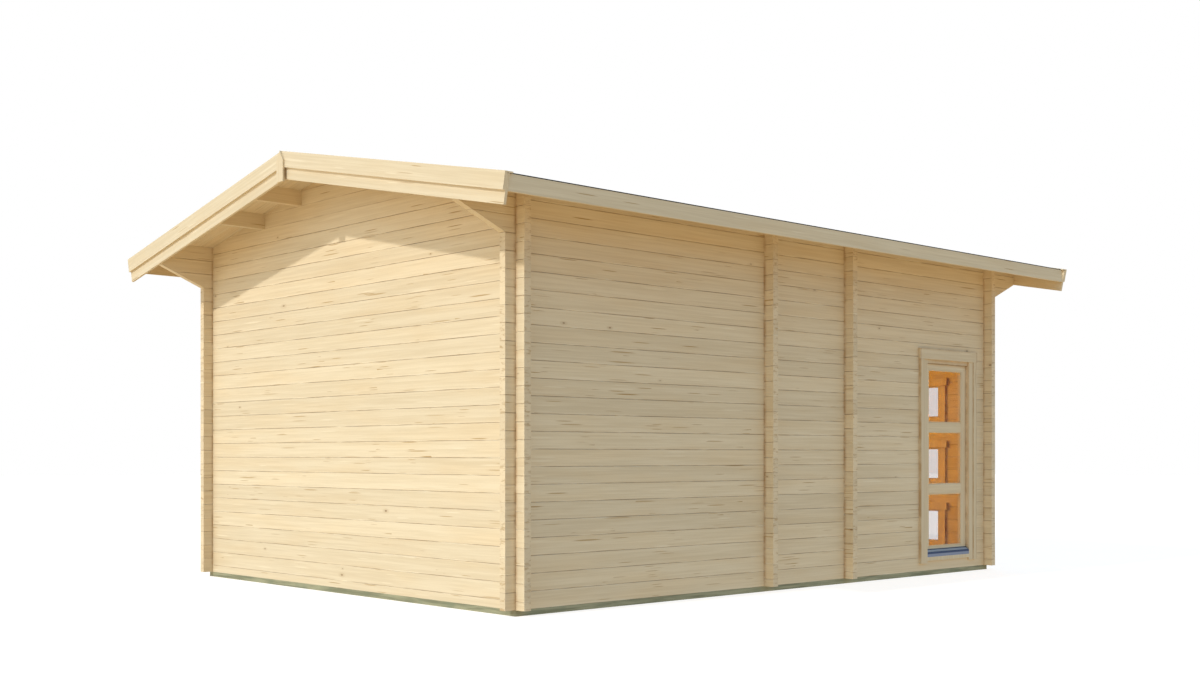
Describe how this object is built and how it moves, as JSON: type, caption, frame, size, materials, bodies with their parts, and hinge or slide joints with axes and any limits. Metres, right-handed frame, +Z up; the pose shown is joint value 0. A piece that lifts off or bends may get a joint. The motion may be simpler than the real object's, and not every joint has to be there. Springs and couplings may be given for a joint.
{
  "type": "log cabin",
  "caption": "Hollow timber cabin of interlocking logs with notched corners, a low gable roof carried past the walls by purlins, tall side windows and small front windows.",
  "frame": {"origin": "centre of the cabin's plan at the underside of the foundation beams", "axes": "+Z up, +Y from the blank rear gable to the front gable along the ridge, +X to the right-hand side wall"},
  "size_m": [5.368, 6.834, 3.377],
  "materials": {
    "log_wood": "planed, untreated",
    "trim_wood": "planed, untreated",
    "roof_board_wood": "planed, untreated",
    "floor_wood": "planed, untreated",
    "treated_wood": "pressure treated",
    "roof_felt": "grit-faced bitumen",
    "window_glass": "clear",
    "rain_rail_metal": "anodised",
    "handle_metal": "brushed"
  },
  "bodies": {
    "root": {"door_frame": "trim_wood", "door_handle": "handle_metal", "door_inner_casing": "trim_wood", "door_leaf": "trim_wood", "door_outer_casing": "trim_wood", "floor_boards": "floor_wood", "floor_joists": "treated_wood", "foundation_beams": "treated_wood", "front_apex_plate": "trim_wood", "front_gable_logs": "log_wood", "front_lower_bargeboards": "trim_wood", "front_partition_gable_logs": "log_wood", "front_partition_logs": "log_wood", "front_upper_bargeboards": "trim_wood", "front_wall_logs": "log_wood", "front_window_frames": "trim_wood", "front_window_glass": "window_glass", "front_window_inner_casings": "trim_wood", "front_window_outer_casings": "trim_wood", "left_eave_fascia": "trim_wood", "left_purlins": "log_wood", "left_roof_boards": "roof_board_wood", "left_wall_logs": "log_wood", "rear_apex_plate": "trim_wood", "rear_gable_logs": "log_wood", "rear_lower_bargeboards": "trim_wood", "rear_partition_gable_logs": "log_wood", "rear_partition_logs": "log_wood", "rear_upper_bargeboards": "trim_wood", "rear_wall_logs": "log_wood", "ridge_purlin": "log_wood", "right_eave_fascia": "trim_wood", "right_purlins": "log_wood", "right_roof_boards": "roof_board_wood", "right_wall_logs": "log_wood", "roof_edge_laths": "trim_wood", "roof_felt": "roof_felt", "side_window_frames": "trim_wood", "side_window_glass": "window_glass", "side_window_inner_casings": "trim_wood", "side_window_outer_casings": "trim_wood", "side_window_rain_rails": "rain_rail_metal", "side_window_sashes": "trim_wood"}
  },
  "joints": []
}
